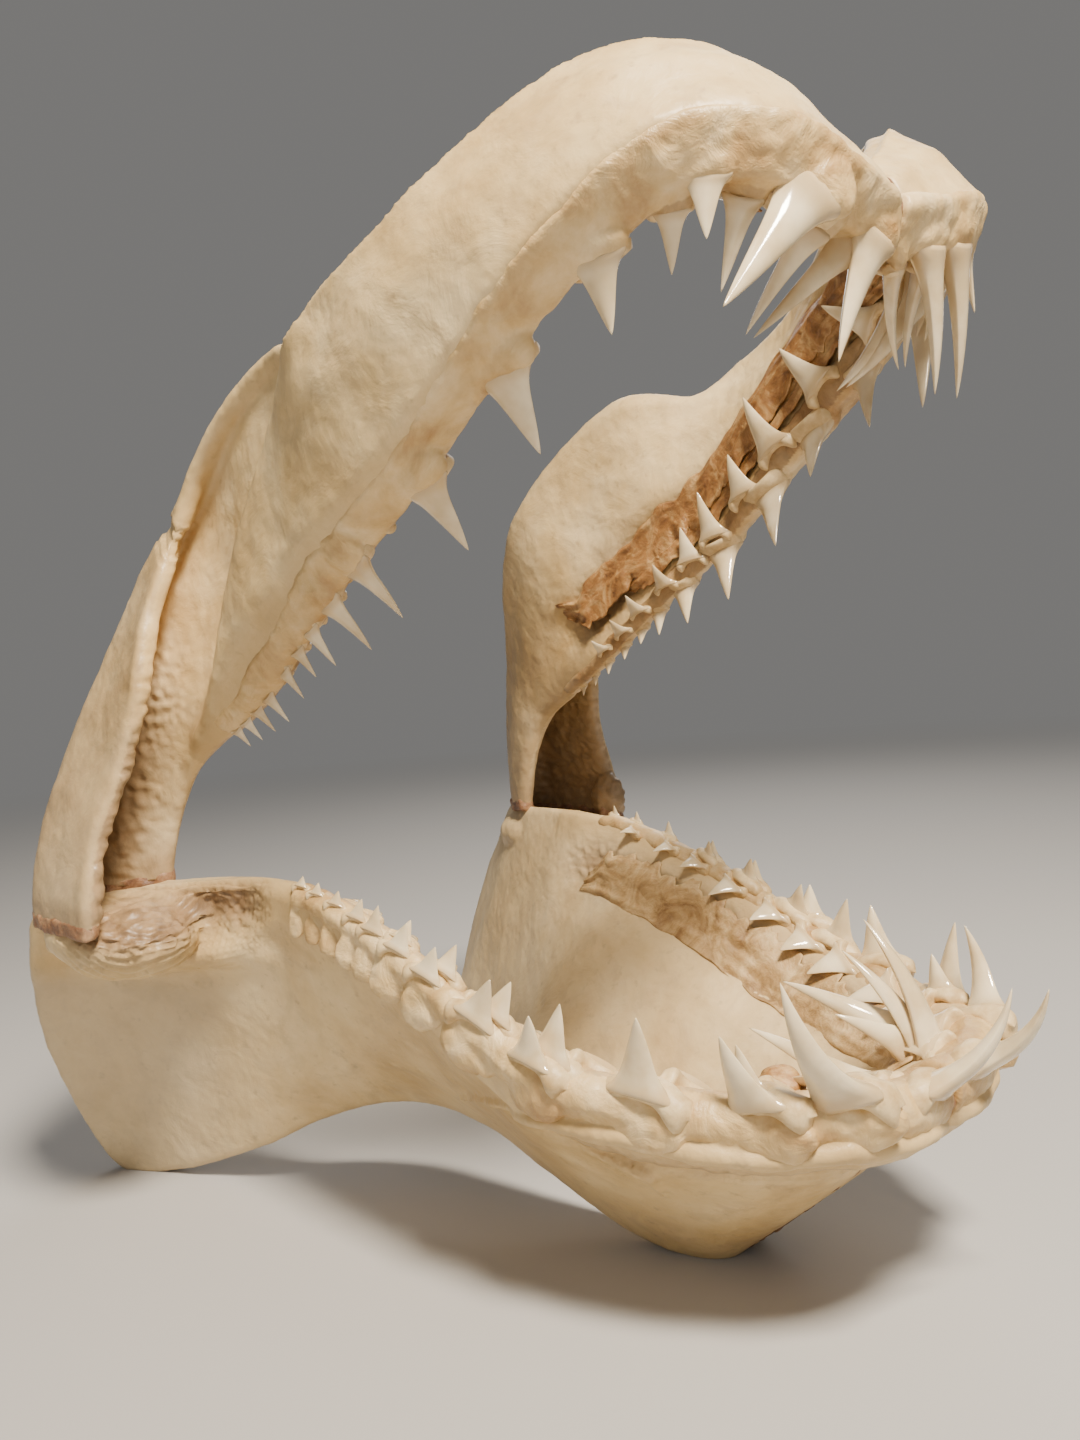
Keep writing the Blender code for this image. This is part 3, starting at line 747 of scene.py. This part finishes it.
def lower_cartilage(side, word):
    rings, stations, places, sides = chart(*LOWER_JAW)
    shape = Shape()
    shape.loft(rings)
    chart_points = place(shape.all_points(), side)
    shape.ball((99, -12, 98), (22, 30, 13))
    for seed, path in enumerate(LOWER_FOLDS):
        fold(shape, path, seed)
    data = remeshed("meckels_cartilage_" + word, shape, side, VOXEL, 5)
    points = vectors(data, "co")
    at, s, face = look_up(points, chart_points, (stations, places, sides))
    mm = margin_distance(LOWER, at, s)
    outer = face > 0
    plate = ease(9.5, 12.0, at) * outer
    front = (1 - ease(4.2, 5.6, at)) * outer
    groove = (face < 0) * bump(mm, 20, 13) * ease(0.8, 2.0, at) * (1 - ease(9.0, 10.5, at))
    yellow = (1 - ease(0.03, 0.16, s)) * (at < 11) + 0.5 * ease(0.93, 1.0, s)
    yellow = np.maximum(yellow, 0.8 * bump(mm, 12.5, 3.5) * front)
    cup = ease(9.9, 10.9, at) * (1 - ease(14.0, 15.2, at)) * bump(mm, 7, 15) * outer
    ridge = ease(9.4, 10.6, at) * (1 - ease(14.0, 15.0, at)) * bump(mm, 26, 8) * outer
    # Painted shade: brown in the hollow (cup) by the joint and in a band below the front ridge; the groove
    # behind the teeth on the inner face is made browner too.
    stain_and_shade = np.maximum(0.7 * groove, 0.9 * cup)
    stain_and_shade = np.maximum(stain_and_shade, 0.45 * bump(mm, 18, 5) * front)
    grey = 0.5 * plate * ease(28, 45, mm) + 0.25 * (face < 0)
    shift = 0.5 * noise_at(points, 26, 4) + 0.28 * noise_at(points, 8, 5) + 0.12 * noise_at(points, 2.6, 6)
    shift -= front * 2.2 * bump(mm, 29, 9)
    shift += front * 0.8 * bump(mm, 20, 16) * wrinkles(points, 14, 6)
    shift += groove * (1.0 * wrinkles(points, 15, 4) - 1.4)
    shift += ridge * (2.0 + 0.9 * noise_at(points, 12, 16)) - cup * (4.2 - 1.5 * wrinkles(points, 17, 4))
    points = pushed(points, data, shift)
    points[:, 2] = np.maximum(points[:, 2], 0.0)
    set_coordinates(data, points)
    add_attribute(data, "yellow", yellow)
    add_attribute(data, "stain_and_shade", stain_and_shade)
    add_attribute(data, "grey", grey)
    joint = (JOINT_X * side, 0, JOINT_Z - JOINT_THICK + JOINT_CREEP)
    trim(data, joint, (JOINT_SLOPE * side, 0, 1))
    obj = finish_object("meckels_cartilage_" + word + "_dried", data, CARTILAGE)
    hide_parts("meckels_cartilage_" + word)


def fold(shape, path, seed):
    """Rolled edge of dried skin along the outer face: station, distance from the margin, radius."""
    rings = []
    path = np.array(path, float)
    around, per_row = 12, 12
    phi = np.linspace(0, 2 * math.pi, around, endpoint=False)
    for k in range((len(path) - 1) * per_row + 1):
        at, distance, radius = smooth(path, k / per_row)
        at = max(at, 0.02)
        row = smooth(LOWER, at)
        margin, chord, length, out, _ = jaw_frame(LOWER, at, -1)
        outer, _ = lower_faces(row, distance / length)
        wave = noise.noise((k * 0.16, seed, 0.4))
        middle = margin + chord * (distance + 1.2 * wave) + out * (outer + 0.25 * radius)
        size = radius * (1 + 0.25 * noise.noise((k * 0.3, seed, 3.1)))
        rings.append(middle + np.outer(np.cos(phi), out) * size + np.outer(np.sin(phi), chord) * size * 1.3)
    shape.loft(rings)


def lumpy(name, shape, voxel, swell, seed):
    """Wrinkled skin round a shape given in metres."""
    data = bpy.data.meshes.new(name + "_raw")
    data.from_pydata(shape.all_points().tolist(), [], shape.faces)
    data = skinned(name, data, voxel, 3)
    points = vectors(data, "co")
    shift = swell + 0.7 * noise_at(points, 5, seed) + 0.4 * noise_at(points, 2.2, seed + 1)
    points = pushed(points, data, shift)
    points[:, 2] = np.maximum(points[:, 2], 0.0)
    set_coordinates(data, points)
    return data


def joint_ligament(outlines, side, word):
    """Dried capsule between the two cartilages, from the upper one's largest cut."""
    outline = max(outlines, key=len)
    below, above = -3.2, 1.5
    shape = Shape()
    shape.loft([outline + np.array((0, 0, height * MM)) for height in (below, above)])
    data = lumpy("hinge_" + word, shape, 0.7, 0.25, 40 + side)
    obj = finish_object("hinge_ligament_" + word + "_dried", data, LIGAMENT)
    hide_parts("hinge_ligament_" + word)


def midline_ligament(rows, faces, turn, name, seed):
    """Dried seam that laps a little over both halves."""
    shrink, lap = 0.985, 0.3
    ring, _, _ = section(rows, faces, turn, 0)
    middle = ring.mean(axis=0)
    ring = middle + (ring - middle) * shrink
    shape = Shape()
    shape.loft([place(ring - np.array((2 * MIDLINE + lap, 0, 0))), place(ring + np.array((lap, 0, 0)))])
    data = lumpy(name, shape, 0.6, 0.0, seed)
    obj = finish_object(name + "_dried", data, LIGAMENT)
    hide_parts(name)


# Gums

# Rings of the gum round a tooth: height over the crown's foot, half width as a share of the crown's
# width, added depth.
SLEEVE_UPPER = ((-12, 0.4, 0.2), (-9, 0.54, 1.0), (-6, 0.62, 1.3), (-3.5, 0.61, 1.0), (-2.2, 0.57, 0.5),
                (-1.2, 0.53, 0.0), (-0.4, 0.45, -0.7))
SLEEVE_LOWER = ((-16, 0.4, -0.5), (-13, 0.6, 0.3), (-10, 0.64, 0.3), (-8, 0.56, 0.0),
                (-6, 0.5, -0.4), (-5, 0.3, -1))


def gum(rows, faces, turn, teeth, spare, name, side, seed):
    """Dried gum: a lumpy band along the margin that swells round every root."""
    rng = random.Random(seed)
    upper = faces is upper_faces
    end = 11.0 if upper else 9.6
    column = 11 if upper else 10
    shape = Shape()
    rings = []
    per_row, count = 8, 14
    for k in range(int(end * per_row) + 1):
        at = k / per_row
        row = smooth(rows, at)
        margin, chord, length, out, _ = jaw_frame(rows, at, turn)
        tall = max(row[column], 3.5) * (1.0 + 0.16 * noise.noise((at * 1.7, seed, 0.3)))
        t = np.linspace(-0.12, 1.0, count)
        s = np.clip(t, 0, 1) * tall / length
        outer, inner = faces(row, s)
        swell = (0.9 if upper else 0.4) * np.sin(np.pi * np.clip((t + 0.12) / 1.12, 0, 1)) ** 0.6
        swell -= 0.9 * ease(0.75, 1.0, t)
        close = np.sqrt(np.clip(1 - (np.clip(0.3 - t, 0, 1) / 0.43) ** 2, 0, 1))
        middle = 0.5 * (outer - inner)
        half = (0.5 * (outer + inner) + swell) * close
        a = margin + np.outer(t * tall, chord) + np.outer(middle + half, out)
        b = margin + np.outer(t * tall, chord) + np.outer(middle - half, out)
        ring = np.concatenate([a, b[::-1]])
        if at == 0:
            ring[:, 0] = MIDLINE
        rings.append(ring)
    shape.loft(rings)
    for table in (teeth, spare):
        for spec in table:
            sleeve(shape, rows, faces, turn, spec, rng, upper)
    data = remeshed(name, shape, side, GUM_VOXEL, 5)
    points = vectors(data, "co")
    shift = 0.5 * noise_at(points, 7, 7 + seed) + 0.35 * noise_at(points, 3, 8 + seed)
    points = pushed(points, data, shift)
    points[:, 0] = side * np.maximum(points[:, 0] * side, 0.4 * MM)
    set_coordinates(data, points)
    chart_points, inward = gum_chart(rows, faces, turn, side, end)
    side_of, at = look_up(points, chart_points, inward)
    stain_and_shade = ease(0.2, 1.0, -side_of) * (0.3 + 0.35 * ease(2.0, 4.0, at)) * (1.0 if upper else 0.5)
    add_attribute(data, "stain_and_shade", stain_and_shade)
    return finish_object(name, data, GUM)


def sleeve(shape, rows, faces, turn, spec, rng, upper):
    """Gum drawn up round one tooth; in the lower jaw it ends lower, so that the root's lobes show."""
    station, _, width, neck, lean_in, lean_back, _, inset = spec
    root, axes = tooth_frame(rows, faces, turn, station, lean_in, lean_back, inset)
    wide = width * rng.uniform(0.97, 1.06)
    around = 20
    phi = np.linspace(0, 2 * math.pi, around, endpoint=False)
    rings = []
    for up, half, extra in SLEEVE_UPPER if upper else SLEEVE_LOWER:
        deep = 0.2 * wide + extra
        ring = np.stack([half * wide * np.cos(phi), deep * np.sin(phi), np.full(around, neck + up)], 1)
        rings.append(ring @ axes + root)
    shape.loft(rings)


def gum_chart(rows, faces, turn, side, end):
    """Points inside and on both faces of the margin, with their side and station."""
    points, sides, stations = [], [], []
    per_row = 10
    for k in range(int(end * per_row) + 1):
        at = k / per_row
        row = smooth(rows, at)
        margin, chord, length, out, _ = jaw_frame(rows, at, turn)
        for distance in (0.0, 4.0, 9.0, 14.0):
            outer, inner = faces(row, distance / length)
            for way, depth in ((1, outer + 1), (0, 0), (-1, inner + 1)):
                points.append(margin + chord * distance + out * depth * way)
                sides.append(way)
                stations.append(at)
    return place(np.array(points), side), (np.array(sides, float), np.array(stations))


def curtain(name, rows, faces, turn, side, spec, seed, material):
    """Thin dried flap that rises from the inner face behind the teeth and curls towards them."""
    first, last, start, reach, lift = spec
    rings = []
    per_row, steps = 14, 22
    for k in range(int((last - first) * per_row) + 1):
        at = first + k / per_row
        row = smooth(rows, at)
        margin, chord, length, out, _ = jaw_frame(rows, at, turn)
        wave = noise.noise((at * 2.6, seed, 0.2))
        ripple = noise.noise((at * 9.0, seed, 1.7))
        ends = float(ease(first, first + 0.5, at) * (1 - ease(last - 0.5, last, at)))
        span = reach * (1 + 0.35 * wave + 0.2 * ripple) * (0.4 + 0.6 * ends)
        rise = lift * (1 + 0.3 * ripple - 0.3 * wave) * ends
        t = np.linspace(0, 1, steps)
        along = start * (1 + (0.12 if turn > 0 else 0.05) * wave) - span * t ** 1.2
        _, inner = faces(row, np.clip(along / length, 0, 1))
        fibre = np.array([noise.noise((at * 1.4, v * 7, seed + 0.5)) for v in t])
        arch = np.sin(0.5 * np.pi * np.minimum(t * 1.35, 1.35))
        off = -inner + 0.6 - rise * arch + 0.5 * ripple * t + 1.1 * fibre
        thin = 0.75 * (1 - 0.7 * t)
        top = margin + np.outer(along, chord) + np.outer(off - thin, out)
        bottom = margin + np.outer(along, chord) + np.outer(off + thin, out)
        rings.append(np.concatenate([top, bottom[::-1]]))
    shape = Shape()
    shape.loft(rings)
    data = bpy.data.meshes.new(name)
    data.from_pydata(place(shape.all_points(), side).tolist(), [], shape.faces)
    clean(data)
    return finish_object(name, data, material)


# Teeth


def tooth_frame(rows, faces, turn, station, lean_in, lean_back, inset):
    """Middle of a tooth's neck at the margin, and its across, labial and tip directions."""
    row = smooth(rows, station)
    margin, chord, length, out, travel = jaw_frame(rows, station, turn)
    outer, inner = faces(row, 0.02)
    root = margin + out * (0.5 * (outer - inner) - inset)
    axis = unit(-chord - lean_in * out + lean_back * travel)
    labial = unit(out - axis * np.dot(out, axis))
    across = np.cross(labial, axis)
    if np.dot(across, travel) < 0:
        across = -across
    return root, np.array((across, labial, axis))


def trench_frame(rows, faces, turn, station, low, high, drift):
    """Root, axes and length of a replacement tooth that lies along the inner face."""
    row = smooth(rows, station)
    margin, chord, length, out, travel = jaw_frame(rows, station, turn)
    ends = []
    for distance, lift, back in ((low, 1.6, 0), (high, 5.5, drift)):
        _, inner = faces(row, distance / length)
        ends.append(margin + chord * distance - out * (inner + lift) + travel * back)
    axis = unit(ends[1] - ends[0])
    labial = unit(-out + axis * np.dot(out, axis))
    return ends[0], np.array((np.cross(labial, axis), labial, axis)), np.linalg.norm(ends[1] - ends[0])


def crown_points(height, width, thick, curve, lean):
    """Rings of the crown in its own axes: across, labial, up."""
    rings = []
    around, steps = 28, 30
    flare = 0.38
    phi = np.linspace(0, 2 * math.pi, around, endpoint=False)
    for k in range(steps + 1):
        t = -0.06 + 1.06 * k / steps
        u = max(t, 0.0)
        w = 0.53 * width * ((1 - flare) * (1 - u) ** 0.82 + flare * math.exp(-u / 0.12) * (1 - u))
        d = 0.5 * thick * (1 - u) ** 0.75 * (0.8 + 0.2 * math.exp(-u / 0.12))
        power = 1.0 + 0.55 * float(ease(0.0, 0.25, u)) * (1 - float(ease(0.85, 1.0, u)))
        sine = np.sin(phi)
        y = d * np.sign(sine) * np.abs(sine) ** power * np.where(sine > 0, 0.62, 1.0)
        x = w * np.cos(phi) + lean * height * u * u
        back = -curve * height * 4 * u * (1 - u)
        drop = 0.08 * width * (1 - u) ** 5 * np.cos(phi) ** 2
        rings.append(np.stack([x, y + back, t * height - drop], 1))
    return rings


def root_points(width, depth, thick, notch):
    """Rings of the two-lobed root, from one side to the other."""
    rings = []
    around, steps = 18, 26
    phi = np.linspace(0, 2 * math.pi, around, endpoint=False)
    for k in range(steps + 1):
        u = -1 + 2 * k / steps
        round_off = math.sqrt(max(1 - abs(u) ** 5, 0.0)) if abs(u) < 1 else 0.02
        lobe = math.exp(-((abs(u) - 0.72) / 0.26) ** 2)
        top = depth * (0.12 * (1 - u * u) - 0.06 * u * u)
        bottom = -depth * (1 - notch + notch * lobe)
        half = 0.5 * (top - bottom) * round_off
        middle = 0.5 * (top + bottom) if abs(u) < 1 else -0.6 * depth
        z = middle + half * np.cos(phi)
        y = thick * (0.5 * round_off * np.sin(phi) - 0.36 + 0.12 * lobe)
        rings.append(np.stack([np.full(around, u * 0.5 * width), y, z], 1))
    return rings


def tooth_object(name, centre, basis, crown, width, spread, deep, curve, lean, side):
    """Crown and two-lobed root on a centre at the crown's base."""
    thick = width * (0.46 + 0.24 * float(ease(1.3, 2.3, crown / width)))
    shape = Shape()
    shape.loft([ring @ basis + centre for ring in crown_points(crown, width, thick, curve, lean)])
    crown_faces, crown_count = len(shape.faces), shape.count
    root = root_points(width * spread, deep, min(thick, 0.5 * width) * 1.15, 0.6)
    shape.loft([ring @ basis + centre for ring in root])
    data = bpy.data.meshes.new(name)
    points = shape.all_points()
    data.from_pydata(place(points, side).tolist(), [], shape.faces)
    for i, face in enumerate(data.polygons):
        face.material_index = 0 if i < crown_faces else 1
    up = (points - centre) @ basis[2] / crown
    low = np.where(np.arange(len(points)) < crown_count, 1 - ease(0.0, 0.16, up), 0.0)
    add_attribute(data, "low", low)
    clean(data)
    return finish_object(name, data, [ENAMEL, ROOT])


def make_tooth(name, rows, faces, turn, spec, side, rng):
    station, height, width, neck, lean_in, lean_back, curve, inset = spec
    root, basis = tooth_frame(rows, faces, turn, station, lean_in, lean_back, inset)
    crown = (height - neck - 0.6) * rng.uniform(0.98, 1.02)
    lower = faces is lower_faces
    slim = float(ease(1.4, 2.5, height / width))
    deep = width * (0.62 + 0.28 * slim) if lower else width * 0.4
    spread = (1.5 - 0.2 * slim) if lower else 1.15
    centre = root + basis[2] * neck + basis[1] * (1.3 if lower else 0.3)
    lean = 0.04 * (rng.random() - 0.5)
    return tooth_object(name, centre, basis, crown, width, spread, deep, curve, lean, side)


def make_teeth(rows, faces, turn, table, name, side, seed):
    rng = random.Random(seed)
    for k, spec in enumerate(table):
        make_tooth(f"{name}_{k + 1:02d}", rows, faces, turn, spec, side, rng)


def trench_teeth(rows, faces, turn, table, name, side, seed):
    rng = random.Random(seed)
    for k, (station, low, high, width, drift) in enumerate(table):
        station += rng.uniform(-0.12, 0.12)
        high += rng.uniform(-1.5, 1.5)
        root, basis, length = trench_frame(rows, faces, turn, station, low, high, drift)
        tooth_object(f"{name}_{k + 1:02d}", root, basis, length, width, 1.2, 0.4 * width, -0.06, 0.0, side)


def free_teeth(table, name):
    """Teeth given by base and tip; x keeps its sign, so that they aren't mirrored."""
    for k, (base, tip, width) in enumerate(table):
        base, tip = np.array(base, float), np.array(tip, float)
        axis = unit(tip - base)
        across = unit(np.cross(axis, np.array((0.15, 1.0, 0.0))))
        labial = np.cross(axis, across)
        labial = labial if labial[1] > 0 else -labial
        basis = np.array((across, labial, axis))
        long = np.linalg.norm(tip - base)
        tooth_object(f"{name}_{k + 1:02d}", base, basis, long, width, 1.15, 0.6 * width, -0.1, 0.0, 1)


def nodule():
    """Brown lump of dried tissue behind the right front teeth of the lower jaw."""
    shape = Shape()
    shape.ball((26, 181, 69), (5, 6, 5))
    shape.ball((31, 177, 68), (4, 5, 3.5))
    data = remeshed("dried_nodule", shape, 1, 0.6, 3)
    points = vectors(data, "co")
    points = pushed(points, data, 0.8 * noise_at(points, 4, 50))
    set_coordinates(data, points)
    finish_object("dried_nodule", data, MEMBRANE)


def build_jaws():
    halves = ((1, "right", UPPER_RIGHT, LOWER_RIGHT), (-1, "left", UPPER_LEFT, LOWER_LEFT))
    for side, word, upper, lower in halves:
        joint_ligament(upper_cartilage(side, word), side, word)
        lower_cartilage(side, word)
        band = gum(*UPPER_JAW, upper, UPPER_SPARE, "upper_gum_" + word, side, 11)
        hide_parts("upper_gum_teeth_" + word)
        band = gum(*LOWER_JAW, lower, LOWER_SPARE, "lower_gum_" + word, side, 12)
        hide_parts("lower_gum_teeth_" + word)
        make_teeth(*UPPER_JAW, upper, "upper_tooth_" + word, side, 21 + side)
        make_teeth(*UPPER_JAW, UPPER_SPARE, "upper_spare_" + word, side, 31 + side)
        make_teeth(*LOWER_JAW, lower, "lower_tooth_" + word, side, 41 + side)
        make_teeth(*LOWER_JAW, LOWER_SPARE, "lower_spare_" + word, side, 51 + side)
        trench_teeth(*UPPER_JAW, UPPER_TRENCH, "upper_trench_tooth_" + word, side, 61 + side)
        trench_teeth(*LOWER_JAW, LOWER_TRENCH, "lower_trench_tooth_" + word, side, 71 + side)
        for name, *spec in UPPER_FLAPS:
            curtain(name + word, *UPPER_JAW, side, spec, len(name) + side, MEMBRANE)
        for name, *spec in LOWER_FLAPS:
            curtain(name + word, *LOWER_JAW, side, spec, len(name) + side, STRIP)
    nodule()
    free_teeth(LOWER_FREE, "lower_free_tooth")
    free_teeth(UPPER_FREE, "upper_free_tooth")
    midline_ligament(*UPPER_JAW, "upper_symphysis_ligament", 45)
    midline_ligament(*LOWER_JAW, "lower_symphysis_ligament", 47)


# Stage

BACKDROP = (1.0, 0.98, 0.95, 1.0)
BACKDROP_STRENGTH = 0.19
FLOOR_HALF = 6
LIGHT_AIM = Vector((0, 0, 0.15))
# The area lights: name, place, size, power and colour.
LIGHTS = (
    ("key", (0.26, 0.62, 1.05), 0.22, 40.0, (1.0, 0.89, 0.74)),
    ("fill", (0.9, 0.5, 0.6), 0.8, 2.4, (1.0, 0.95, 0.9)),
    ("rim", (-0.9, -0.5, 0.8), 0.7, 5.0, (1.0, 0.97, 0.94)),
)
# The photo's camera: its eye in table millimetres and its right, up and back directions.
PHOTO_EYE = (276.69, 354.49, 185.32)
PHOTO_AXES = (
    (-0.70262, 0.70927, -0.05707),
    (-0.09380, -0.01282, 0.99551),
    (0.70536, 0.70482, 0.07553),
)


def floor_material():
    """Pale floor that fades into the colour of the background, so that the horizon is soft."""
    n = Nodes("pale_floor")
    n.set(Base_Color=(0.42, 0.41, 0.40, 1.0), Roughness=0.8)
    reach = n.tree.nodes.new("ShaderNodeVectorMath")
    reach.operation = "LENGTH"
    n.link(n.coords, reach.inputs[0])
    fade = n.ramp(n.times(reach.outputs["Value"], 0.4), [(0.14, (0.0,)), (0.75, (1.0,))])
    glow = n.tree.nodes.new("ShaderNodeEmission")
    glow.inputs["Color"].default_value = BACKDROP
    glow.inputs["Strength"].default_value = BACKDROP_STRENGTH
    mix = n.tree.nodes.new("ShaderNodeMixShader")
    n.link(fade, mix.inputs[0])
    n.link(n.shader.outputs[0], mix.inputs[1])
    n.link(glow.outputs[0], mix.inputs[2])
    n.link(mix.outputs[0], n.tree.nodes["Material Output"].inputs["Surface"])
    return n.material


def stage_scene():
    floor = bpy.data.meshes.new("floor")
    corners = [(x * FLOOR_HALF, y * FLOOR_HALF, 0) for x, y in ((-1, -1), (1, -1), (1, 1), (-1, 1))]
    floor.from_pydata(corners, [], [(0, 1, 2, 3)])
    floor.materials.append(floor_material())
    obj = new_object("floor", floor)
    world = bpy.data.worlds.new("studio")
    world.use_nodes = True
    world.node_tree.nodes["Background"].inputs[0].default_value = BACKDROP
    world.node_tree.nodes["Background"].inputs[1].default_value = BACKDROP_STRENGTH
    bpy.context.scene.world = world
    for name, spot, size, power, tint in LIGHTS:
        light = bpy.data.lights.new(name, "AREA")
        light.energy, light.size, light.color = power, size, tint
        lamp = new_object(name, light)
        lamp.location = spot
        aim = LIGHT_AIM - lamp.location
        lamp.rotation_euler = aim.to_track_quat("-Z", "Y").to_euler()


def photo_camera():
    """The photograph's viewpoint, turned with the jaws onto the floor."""
    eye = place_one(PHOTO_EYE)
    data = bpy.data.cameras.new("photo_camera")
    data.sensor_width, data.lens, data.clip_start = 36.0, 31.25, 0.01
    obj = new_object("photo_camera", data)
    right, up, back = (place_direction(*axis) for axis in PHOTO_AXES)
    obj.matrix_world = Matrix((
        (right.x, up.x, back.x, eye.x), (right.y, up.y, back.y, eye.y),
        (right.z, up.z, back.z, eye.z), (0, 0, 0, 1),
    ))
    bpy.context.scene.camera = obj


build_jaws()
stage_scene()
photo_camera()
